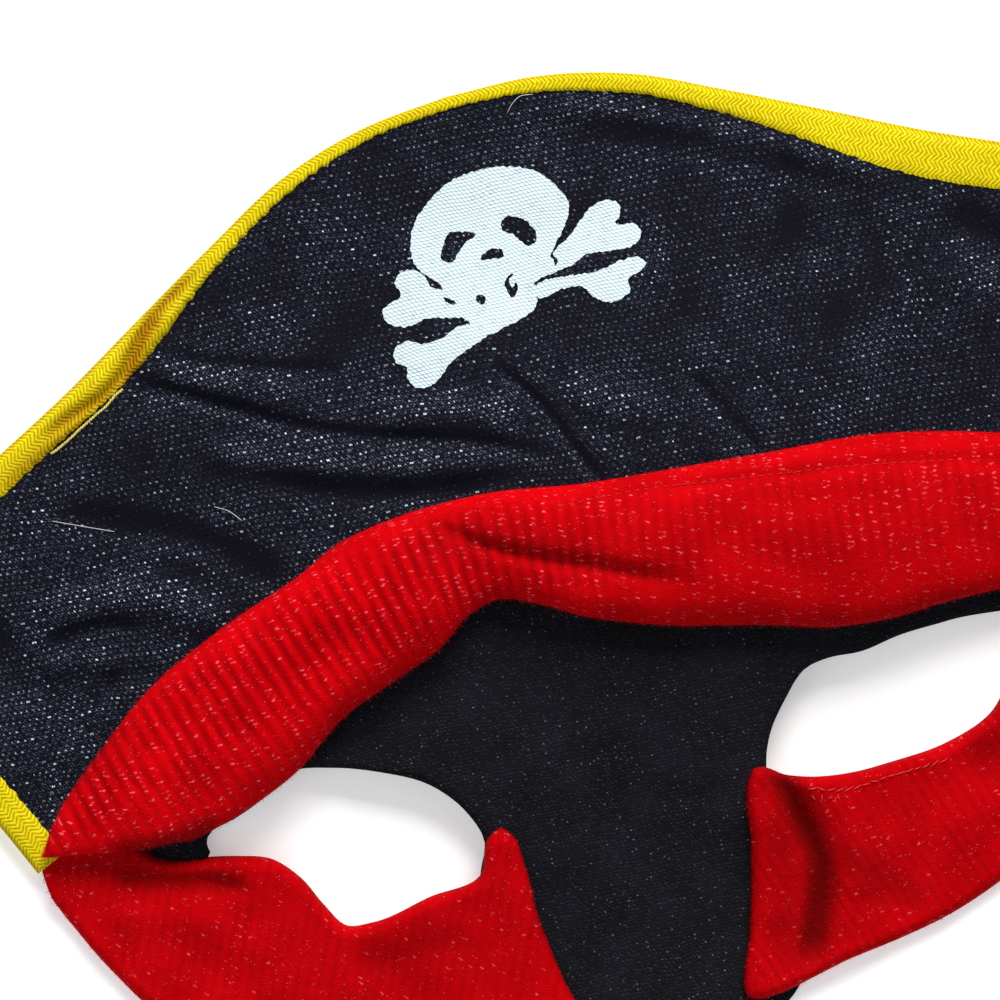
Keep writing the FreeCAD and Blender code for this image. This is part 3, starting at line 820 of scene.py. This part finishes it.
# Painted light and shade: the stored glint share is higher on ridges, on slopes facing the key light and at
# the left corner, and lower in the valleys.
slope = (wrinkles(x + step_x, v + step_v) - wrinkles(x - step_x, v - step_v)) / SLOPE_STEP
painted_light_at_left = 0.22 * np.clip((-x - 62) / 10, 0, 1)
share = 0.30 - 1.1 * slope + 0.40 * wrinkles(x, v) + 0.13 * waves(x, v, 15, 5) + painted_light_at_left
store(front, "painted_glint", np.clip(share, 0.02, 1.0))

back = sheet_mesh("brim_back_cloth", cloth_outline, 1.1, back_height, GRAIN)
back.data.flip_normals()
across_fold(back, BACK_CLOTH, "back_cloth")
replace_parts(back, "brim_back_panel", "brim_root_back_panel")

stiffener = sheet_mesh("brim_interlining_cloth", shrunk(brim_outline, 2.2)[::8], 1.6,
                       lambda x, v: (front_height(x, v) + back_height(x, v)) / 2, GRAIN)
across_fold(stiffener, INTERLINING, "interlining")
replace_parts(stiffener, "brim_interlining", "brim_root_interlining")


TAPE_ROUND = 0.35       # how far in from the brim's edge the tape starts to turn over it


def tape_width(edge):
    """Width of the tape on the front at each point of the brim's edge, with the steps smoothed out."""
    width = np.interp(edge[:, 0], TAPE_X, TAPE_WIDTH)
    return np.convolve(np.pad(width, 40, mode="edge"), np.ones(81) / 81, mode="valid")


def tape_rows():
    """The tape's surface: from its front inner edge, round the brim's edge, to its back inner edge."""
    edge = free_edge
    inward = sideways(edge)
    length = lengths_along(edge)
    ragged = 0.10 * np.abs((length / 0.75) % 1 - 0.5) * 2 + 0.09 * waves(length, 0 * length, 1.7, 72)
    width = tape_width(edge) + ragged
    rolled = np.exp(-((edge[:, 0] + 57) / 15) ** 2) * (edge[:, 1] > -45)
    rows, uv = [], []
    for share in (1.0, 0.97, 0.90, 0.82, 0.74, 0.66, 0.58, 0.5, 0.42, 0.34, 0.26, 0.18, 0.1):
        inset = TAPE_ROUND + share * (width - TAPE_ROUND)
        x, v = (edge + inward * inset[:, None]).T
        bulge = (0.42 * np.minimum(1, width / 3) + 0.75 * rolled) * (1 - (2 * share - 1) ** 4)
        dip = fold_profile(x, v, TAPE_CREASE, 0.9, 1.0)
        z = front_height(x, v) + 0.12 + bulge * (1 - dip) + 0.10 * (1 - share)
        rows.append(np.column_stack([x, v, z]))
        uv.append(np.column_stack([length, inset]))
    for turn in np.linspace(20, 160, 7):
        a = math.radians(turn)
        inset = TAPE_ROUND * (1 - math.sin(a))
        x, v = (edge + inward * inset).T
        top, low = front_height(x, v) + 0.2, back_height(x, v) - 0.2
        z = (top + low) / 2 + (top - low) / 2 * math.cos(a)
        rows.append(np.column_stack([x, v, z]))
        uv.append(np.column_stack([length, (TAPE_ROUND - a) * np.ones(len(edge))]))
    for share in (0.1, 0.4, 0.75, 1.0):
        inset = TAPE_ROUND + share * (np.maximum(width, 3.2) - TAPE_ROUND)
        x, v = (edge + inward * inset[:, None]).T
        rows.append(np.column_stack([x, v, back_height(x, v) - 0.34 + 0.2 * share ** 3]))
        uv.append(np.column_stack([length, -2.4 - inset]))
    return np.stack(rows, axis=1), np.stack(uv, axis=1)


TAPE_CREASE = [(-38, -11.0), (-43.2, -14.1), (-47.9, -16.9), (-50.9, -19.4), (-54, -23.1), (-58.3, -25.9),
               (-64.1, -27.6), (-71, -30.8)]
# Painted shade on the tape: its creases and rolled shoulder, each line with a half width and a strength.
TAPE_PAINTED_SHADE = [
    (TAPE_CREASE, 1.15, 0.85),
    ([(-46, -16.2), (-49.2, -18.2), (-51.9, -21.1), (-54.2, -24.3), (-57, -26)], 1.6, 1.0),
    ([(-58, -27.4), (-66, -29.8), (-78, -35)], 1.3, 0.6),
    ([(-44, -11.5), (-48.5, -14.8), (-51, -17.5)], 0.8, 0.6),
    ([(-57, -20.5), (-60.5, -22.6)], 0.7, 0.5),
    ([(30, -5.4), (50, -16), (90, -37)], 0.5, 0.25)]
rows, tape_uv = tape_rows()
tape = swept_mesh("brim_edge_tape", rows, tape_uv, closed=False)
mark_painted_shade(tape, TAPE_PAINTED_SHADE)
across_fold(tape, GOLD_TAPE, "gold_tape")
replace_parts(tape, "brim_binding", "binding_end_left", "binding_end_right")


def print_depth(outlines, holes):
    """Signed distance to the union of outlines less the holes, in the print's place on the brim."""
    def depth(x, v):
        px, pv = x - PRINT_MIDDLE[0], v - PRINT_MIDDLE[1]
        total = np.full(x.shape, -1e9)
        for outline in outlines:
            total = np.maximum(total, inside(px, pv, smooth_line(outline, 90, closed=True)))
        for hole in holes:
            total = np.minimum(total, -inside(px, pv, smooth_line(hole, 40, closed=True)))
        return total + 0.08 * waves(x, v, 0.8, 8)
    return depth


def printed(name, depth):
    """One white print, lying on the brim's front cloth."""
    points, faces = cut_grid((*PRINT_LOW, *PRINT_HIGH), 0.22, depth)
    x, v = points[:, 0], points[:, 1]
    ink = make_mesh(name, np.column_stack([x, v, front_height(x, v) + 0.07]), faces, turned(x, v, GRAIN))
    return across_fold(ink, WHITE_INK, "white_print")


skull_depth = print_depth([SKULL], SKULL_HOLES)
bone_depth = print_depth(BONES, SKULL_HOLES)
skull = printed("skull_ink", skull_depth)
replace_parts(skull, "skull_print")
bones = printed("crossbones_ink", lambda x, v: np.minimum(bone_depth(x, v), -skull_depth(x, v)))
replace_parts(bones, "crossbones_print")

# ------------------------------------------------------------------ the forehead band
BAND_STATIONS = 980
BAND_ROUND = 72
BAND_SEAM = [(-1.4, -59.4), (10.1, -60.6), (20, -62.4), (28.0, -63.9), (40, -66.2), (52.3, -69.2),
             (66, -74.6),
             (78, -82)]
# The band's cloth is laid out along this line, and its ribs cross it.
BAND_GUIDE = [(-94, -81), (-80, -77.8), (-68, -74.8), (-56, -71.7), (-45, -68.7), (-35, -66), (-25, -64.1),
              (-13, -63.4), (0, -65), (15, -68.3), (30, -71), (45, -73.2), (60, -75.8), (73, -79), (84, -82),
              (94, -85)]
BAND_CREASE = [(-21, -55.8), (-18.3, -57.3), (-14.9, -60.3), (-7.5, -64.9), (1.4, -69.1), (7.7, -72.3),
               (13.5, -75.4)]
BAND_HOLLOWS = [
    ([(-52, -74), (-40, -70), (-30, -66)], 3.0, -0.5),
    ([(-10, -70), (0, -74), (9, -77.5)], 2.2, 0.6),
    ([(20, -70), (38, -74), (52, -78)], 4.5, 0.5),
    ([(-75, -86), (-62, -84), (-50, -79)], 2.5, -0.4)]
# Painted shade on the band: its crease, seam and folds, and a broad darkening over its right part.
BAND_PAINTED_SHADE = [
    (BAND_CREASE, 1.3, 0.55),
    ([(-27, -57.5), (-14, -60.5), (-2, -66.5), (10, -72)], 3.6, 0.34),
    (BAND_SEAM, 0.45, 0.35),
    ([(0, -75.5), (20, -81.5), (36, -87), (60, -89)], 2.4, 0.35),
    ([(-64, -87.5), (-46, -81), (-30, -73.5), (-18, -68.5)], 2.0, 0.25),
    ([(-77, -87), (-68, -88.6), (-58, -87)], 2.0, 0.6),
    ([(-12, -62), (20, -70), (50, -76), (96, -86)], 16.0, 0.21)]
BAND_LIP = 1.25         # height of the band's widest line above its underside


def wadding_rows():
    """The stuffing: a plain oval section well inside the band's cover, running between its ends."""
    upper, lower = smooth_line(BAND_UPPER, 160)[10:-10], smooth_line(BAND_LOWER, 160)[10:-10]
    middle, half = (upper + lower) / 2, (upper - lower) / 2
    rows = []
    for a in np.linspace(0, 2 * math.pi, 24, endpoint=False):
        x, v = (middle + half * 0.72 * math.cos(a)).T
        rows.append(np.column_stack([x, v, tent(x, v) + BAND_SEAT + 1.6 + 0.9 * math.sin(a)]))
    return np.stack(rows, axis=1)


def band_rows():
    """The band's cover: a padded section with its seam, its crease and its ribs."""
    upper = smooth_line(BAND_UPPER, BAND_STATIONS)
    lower = smooth_line(BAND_LOWER, BAND_STATIONS)
    along = np.linspace(0, 1, BAND_STATIONS)
    middle, half = (upper + lower) / 2, (upper - lower) / 2
    centre = smooth_line(BAND_GUIDE, 120)
    centre_length = steps(centre).sum()
    ends = np.clip(np.minimum(along, 1 - along) / 0.07, 0, 1)
    thick = 2.6 + 2.7 * np.sqrt(ends * (2 - ends))
    seam = smooth_line(BAND_SEAM, 24)
    crease = smooth_line(BAND_CREASE, 16)
    rows, uv = [], []
    for k in range(BAND_ROUND):
        a = FULL_TURN * k / BAND_ROUND
        w = math.cos(a)
        full = max(0.0, 1 - abs(w) ** 2.3) ** 0.5
        x, v = (middle + half * w).T
        seat = tent(x, v) + BAND_SEAT
        off, place = distance_to_line(x, v, centre)
        length = place * centre_length
        if math.sin(a) >= 0:
            z = seat + BAND_LIP + (thick - BAND_LIP) * full
            d, where = distance_to_line(x, v, seam)
            started = np.clip(where * 5, 0, 1)
            beyond = np.clip((w - 0.56) * 5, 0, 1)
            z = z - full * started * (0.85 * np.exp(-(d / 0.7) ** 2) + 0.35 * beyond)
            d, where = distance_to_line(x, v, crease)
            fade = np.clip(np.minimum(where, 1 - where) * 4, 0, 1)
            z = z - full * fade * 1.35 * np.exp(-(d / 1.0) ** 2)
            for line, width, height in BAND_HOLLOWS:
                z = z + full * fold_profile(x, v, line, width, height)
            z = z + full * 0.22 * waves(x, v, 13, 21)
            rib_fade = full ** 2 * (1 - 0.75 * started * beyond) * (1 - 0.55 * np.clip((x + 15) / 30, 0, 1))
            z = z + 0.14 * rib_fade * np.cos(length * FULL_TURN / RIB_PITCH)
        else:
            z = seat + BAND_LIP - BAND_LIP * full
        rows.append(np.column_stack([x, v, z]))
        side = np.where(v > np.interp(x, centre[:, 0], centre[:, 1]), 1, -1)
        uv.append(np.column_stack([length, side * (off + (seat + thick - z) * (1 - full))]))
    return np.stack(rows, axis=1), np.stack(uv, axis=1)


rows, band_uv = band_rows()
band = swept_mesh("forehead_band_knit", rows, band_uv, closed=True)
mark_painted_shade(band, BAND_PAINTED_SHADE)
on_cap(band, RED_BAND, "red_knit")
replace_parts(band, "forehead_band")

rows = wadding_rows()
stuffing = swept_mesh("forehead_band_stuffing", rows, rows[:, :, :2], closed=True)
on_cap(stuffing, WADDING, "wadding")
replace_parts(stuffing, "forehead_band_wadding")

# ------------------------------------------------------------------ the crown strip
STRIP_FOLDS = [
    ([(-40, -84), (-30, -80), (-18, -76)], 3.0, -0.5),
    ([(-16, -80), (-8, -96), (-7, -118)], 4.0, -0.6),
    ([(8, -82), (9, -98), (6, -116)], 3.5, 0.5),
    ([(-22, -96), (-14, -92), (0, -90)], 2.0, 0.4),
    ([(-4, -100), (4, -104), (12, -104)], 2.0, -0.4)]


def strip_height(x, v):
    flat = tent(x, v) + STRIP_LIFT + 0.12 * waves(x, v, 12, 31)
    return np.maximum(folded(x, v, STRIP_FOLDS, flat), 0.9)


def strip_top(x, v, d):
    return strip_height(x, v) + 0.25 * np.minimum(1, d / 0.6)


def strip_bottom(x, v, d):
    return strip_height(x, v) - 0.55 - 0.2 * np.minimum(1, d / 0.6)


strip_outline = smooth_line(STRIP, 260, closed=True)[::-1]
strip = pad_mesh("crown_strip_knit", strip_outline, 0.7, strip_top, strip_bottom, GRAIN)
on_cap(strip, CROWN_CLOTH, "crown_cloth")
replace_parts(strip, "crown_strip")

# ------------------------------------------------------------------ the rear bands
STRIP_MIDDLE, STEP_TOP, STEP_FOOT = -7.0, 25.0, 40.0
REAR_FOLDS = [
    ([(15.8, -100), (16.8, -104.5), (18.2, -112), (18.8, -118.2), (15.8, -126.3), (12, -134)], 1.8, -2.2),
    ([(24, -108), (25, -116), (23, -126)], 2.6, 0.7),
    ([(12.5, -107), (12.5, -116), (9, -126)], 2.0, 0.4),
    ([(-78, -90.5), (-74.4, -91.9), (-69.2, -94.2), (-63.9, -95.8), (-58, -99)], 1.3, -1.1),
    ([(-80, -95), (-72, -98), (-62, -103)], 2.8, 0.6),
    ([(-50, -112), (-40, -114), (-30, -113)], 2.5, -0.5),
    ([(40, -112), (52, -110), (64, -102)], 3.0, -0.6),
    ([(36, -120), (50, -117), (64, -108)], 3.5, 0.6)]
# Painted shade: a softer, broader darkening of the wool beside the fold on the right.
REAR_PAINTED_SHADE = [
    ([(16.5, -98), (15.3, -107.6), (15.2, -114.9), (12.5, -123), (9, -134)], 3.0, 0.30),
    ([(18, -112), (21.3, -116.9), (26.5, -122.5), (33, -129)], 2.6, 0.36)]
# Painted shade in each valley, from the valley's own width and depth.
REAR_PAINTED_SHADE = [(line, width * 1.35, min(0.90, -height * 0.42))
               for line, width, height in REAR_FOLDS if height < 0] + REAR_PAINTED_SHADE


def rear_base(x, v):
    """Where a rear band's underside lies: it steps up onto the crown strip."""
    step = np.clip((STEP_FOOT - np.abs(x - STRIP_MIDDLE)) / (STEP_FOOT - STEP_TOP), 0, 1)
    return tent(x, v) + eased(step) * 1.15


def rear_band(name, outline, node, grain):
    """One rear band: a soft pad with round edges, ribs, folds, and room for the strap sewn under it."""
    closed = smooth_line(outline, 420, closed=True)

    def top(x, v, d):
        sewn = np.clip((np.abs(x) - 70) / 4, 0, 1) * np.clip((v + 93) / 2.5, 0, 1)
        d = d + 1.3 * sewn
        round_edge = np.sqrt(np.clip(1 - (1 - np.minimum(d, 1.7) / 1.7) ** 2, 0, 1))
        z = 0.55 + (REAR_BAND - 0.75) * round_edge + 0.15 * waves(x, v, 9, 41) * round_edge
        for line, width, height in REAR_FOLDS:
            z = z + fold_profile(x, v, line, width, height) * round_edge
        rib = np.cos(turned(x, v, grain)[:, 0] * FULL_TURN / REAR_RIB_PITCH)
        return rear_base(x, v) + np.maximum(z, 0.5) + 0.06 * round_edge * rib

    def bottom(x, v, d):
        lift = 0.0
        for root_x, root_v in map(hat_place, STRAPS.values()):
            lift = lift + 1.5 * np.exp(-(((x - root_x) ** 2 + (v - root_v) ** 2) / 11.0 ** 2) ** 2)
        return rear_base(x, v) + 0.45 * (1 - np.clip(d / 1.2, 0, 1)) + lift

    pad = pad_mesh(name, closed, 0.45, top, bottom, grain)
    mark_painted_shade(pad, REAR_PAINTED_SHADE)
    on_cap(pad, RED_REAR, "red_knit")
    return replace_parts(pad, node)


def hat_place(joint):
    """The x and v of a joint."""
    return np.array([joint["pos_m"][0] / MM, joint["pos_m"][1] / MM - CREST])


STRAPS = {"left": frame["joints"][1], "right": frame["joints"][2]}
rear_left = rear_band("rear_band_left_knit", REAR_LEFT, "rear_band_left", -27)
rear_right = rear_band("rear_band_right_knit", REAR_RIGHT, "rear_band_right", 17)


# ------------------------------------------------------------------ chin straps and their patches
def strap_plate(name, root, run, start, length, width, low, thick, corner):
    """A flat piece that runs out from a chin strap's root, with rounded corners at its far end."""
    cross = np.array([run[1], -run[0]])
    half, far = width / 2, start + length
    shape = [(start, -half), (far - corner, -half)]
    for a in np.linspace(0.2, 1.57, 6):
        shape.append((far - corner + corner * math.sin(a), -half + corner - corner * math.cos(a)))
    shape += [(s, -w) for s, w in reversed(shape)]
    outline = np.array([root + run * s + cross * w for s, w in shape])
    sides = zip(outline, np.roll(outline, -1, axis=0))
    dense = np.vstack([np.linspace(a, b, 12, endpoint=False) for a, b in sides])

    def top(x, v, d):
        return low + thick * (0.6 + 0.4 * np.minimum(1, d / 0.5))

    def bottom(x, v, d):
        return low + thick * 0.4 * (1 - np.minimum(1, d / 0.5))

    return pad_mesh(name, dense, 0.6, top, bottom, math.degrees(math.atan2(run[1], run[0])))


STRAP_LENGTH, STRAP_WIDTH, STRAP_THICK, STRAP_TUCK, STRAP_CORNER = 57.5, 13.0, 1.1, 7.0, 3.9
PATCH_START, PATCH_LENGTH, PATCH_WIDTH, PATCH_CORNER = 30.6, 24.0, 10.0, 0.6
for side, label, patch_name, patch_material, patch_slot in (
        (-1, "left", "loop_patch", PILE, "loop_pile"), (1, "right", "hook_patch", HOOK, "hook_tape")):
    joint = STRAPS[label]
    strap_top = joint["pos_m"][2] / MM
    node = "chin_strap_" + label
    root, run = hat_place(joint), np.array([side * abs(joint["axis"][1]), -abs(joint["axis"][0])])
    strap = strap_plate(node + "_webbing", root, run, -STRAP_TUCK, STRAP_LENGTH + STRAP_TUCK, STRAP_WIDTH,
                        strap_top - STRAP_THICK, STRAP_THICK, STRAP_CORNER)
    dress(strap, WEBBING, "black_webbing")
    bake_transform(strap)
    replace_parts(strap, node)
    patch_low, patch_high = (corner.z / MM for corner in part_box(patch_name))
    patch = strap_plate(patch_name + "_pile", root, run, PATCH_START, PATCH_LENGTH, PATCH_WIDTH,
                        patch_low, patch_high - patch_low, PATCH_CORNER)
    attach(dress(patch, patch_material, patch_slot), "strap_" + label)
    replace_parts(patch, patch_name)

# ------------------------------------------------------------------ fuzz on the red knit
def fuzz(name, obj, count, longest, seed, rim_share):
    """Fine hairs on a knit piece: most near its edges, some over its top."""
    draw = np.random.default_rng(seed)
    points = hat_points(obj)
    normal = np.zeros(points.size)
    obj.data.vertices.foreach_get("normal", normal)
    normal = normal.reshape(-1, 3)
    rim = np.flatnonzero((normal[:, 2] < 0.75) & (normal[:, 2] > -0.3))
    top = np.flatnonzero(normal[:, 2] >= 0.75)
    on_rim = int(count * rim_share)
    pick = np.concatenate([draw.choice(rim, on_rim), draw.choice(top, count - on_rim)])
    lean = normal[pick] * draw.uniform(0.4, 1.0, (count, 1)) + draw.normal(size=(count, 3)) * 0.45
    lengths = longest * draw.uniform(0.35, 1.0, count) ** 1.5
    hair = fibres(name, points[pick] + draw.normal(size=(count, 3)) * 0.08, lean, lengths, 0.04, seed)
    return on_cap(hair, RED_FIBRE, "red_knit")


HAIRS = 15000
fuzz("forehead_band_fuzz", band, HAIRS, 0.55, 51, 0.6)
fuzz("rear_band_left_fuzz", rear_left, HAIRS // 3, 0.5, 52, 0.6)
fuzz("rear_band_right_fuzz", rear_right, HAIRS // 3, 0.5, 53, 0.6)


# ------------------------------------------------------------------ stitches, loose ends and lint
STITCH_SINK = 0.05      # a stitch's ends go this far into the cloth


def stitch_row(line, pitch, length, slant, height, lift, jitter, seed):
    """Short stitches along a line, each a little arch over the cloth at height(x, v)."""
    draw = np.random.default_rng(seed)
    path = smooth_line(line, max(4, int(steps(line).sum() / pitch)))
    made = []
    for p, d in zip(path, unit(np.gradient(path, axis=0))):
        a = math.radians(slant + draw.normal() * jitter)
        turn = np.array([d[0] * math.cos(a) - d[1] * math.sin(a), d[0] * math.sin(a) + d[1] * math.cos(a)])
        reach = length * draw.uniform(0.75, 1.15) / 2
        arch = []
        for t in (-1, -0.5, 0, 0.5, 1):
            x, v = p + turn * reach * t
            arch.append((x, v, float(height(x, v)[0]) + lift * (1 - t * t) - STITCH_SINK))
        made.append(arch)
    return made


def top_of(obj):
    """Height of an object's upper side under a point, found by looking straight down."""
    mesh = obj.data
    tree = BVHTree.FromPolygons([v.co for v in mesh.vertices], [p.vertices[:] for p in mesh.polygons])

    def height(x, v):
        found = []
        for px, pv in zip(np.ravel(x), np.ravel(v)):
            hit = tree.ray_cast(Vector((px * MM, (pv + CREST) * MM, 0.05)), Vector((0, 0, -1)))[0]
            found.append(hit.z / MM if hit is not None else 0.3)
        return np.array(found)
    return height


on_rear_left, on_rear_right, on_band = top_of(rear_left), top_of(rear_right), top_of(band)
seam = stitch_row([(-83.5, -87.3), (-77.5, -89.0), (-71.5, -90.7)], 0.95, 0.8, 8, on_rear_left, 0.22, 10, 61)
seam += stitch_row([(-84.0, -89.4), (-78, -90.9), (-70, -92.4)], 1.15, 0.8, -10, on_rear_left, 0.22, 14, 62)
on_cap(tube("left_seam_stitches", seam, 0.05), RED_THREAD, "red_knit")
overlock = stitch_row([(20.8, -107.6), (24.5, -109.0), (32, -109.2), (39.5, -109.4)], 1.15, 1.3, 6,
                      on_rear_right, 0.22, 12, 63)
overlock += stitch_row([(20.5, -108.9), (25, -110.2)], 0.9, 0.9, -30, on_rear_right, 0.2, 40, 64)
on_cap(tube("right_ear_overlock", overlock, 0.065), PINK_THREAD, "red_knit")
seam_row = stitch_row(BAND_SEAM[:6], 1.3, 0.8, 4, on_band, 0.15, 8, 66)
on_cap(tube("band_seam_stitches", seam_row, 0.07), RED_THREAD, "red_knit")


def frayed_selvedge():
    """The tape's raw woven edge, which shows where the tape has rolled at the left shoulder."""
    draw = np.random.default_rng(71)
    chosen = (free_edge[:, 0] > -70) & (free_edge[:, 0] < -58)
    edge = free_edge[chosen]
    inset = tape_width(free_edge)[chosen] + 0.5 + 0.15 * waves(edge[:, 0], edge[:, 1], 4, 73)
    lines = []
    for k in range(2):
        turn = np.arange(len(edge)) * 1.3 + math.pi * k
        away = inset + 0.12 * np.cos(turn) + draw.normal(size=len(edge)) * 0.02
        x, v = (edge + sideways(edge) * away[:, None]).T
        lines.append(np.column_stack([x, v, front_height(x, v) + 0.16 + 0.10 * np.sin(turn)]))
    return lines


across_fold(tube("tape_selvedge", frayed_selvedge(), 0.11), YELLOW_THREAD, "gold_tape")


def lint_hair(points, lift):
    """A loose hair on the brim's front cloth, arched up between its ends."""
    line = smooth_line(points, 14)
    z = front_height(line[:, 0], line[:, 1]) + lift * np.sin(np.linspace(0.3, 2.8, 14))
    return np.column_stack([line, z])


hairs = [lint_hair([(7.6, -4.4), (8.6, -3.4), (9.9, -2.7), (11.8, -2.9)], 0.6),
         lint_hair([(-70.5, -40.6), (-66.3, -42.7), (-62.5, -44.6)], 0.5),
         lint_hair([(-47.9, -45.4), (-46.2, -46.5), (-44.7, -48.4)], 0.4)]
across_fold(tube("lint_hairs", hairs, 0.05), LINT, "black_cloth")


floor_mesh = bpy.data.meshes.new("floor")
floor_mesh.from_pydata([(-3, -3, 0), (3, -3, 0), (3, 3, 0), (-3, 3, 0)], [], [(0, 1, 2, 3)])
floor = bpy.data.objects.new("floor", floor_mesh)
bpy.context.scene.collection.objects.link(floor)
table_top = bpy.data.materials.new("floor")
table_top.use_nodes = True
for name, value in (("Base Color", (0.90, 0.90, 0.90, 1)), ("Roughness", 0.8),
                    ("Emission Color", (1, 1, 1, 1)), ("Emission Strength", 0.33)):
    table_top.node_tree.nodes["Principled BSDF"].inputs[name].default_value = value
floor.data.materials.append(table_top)
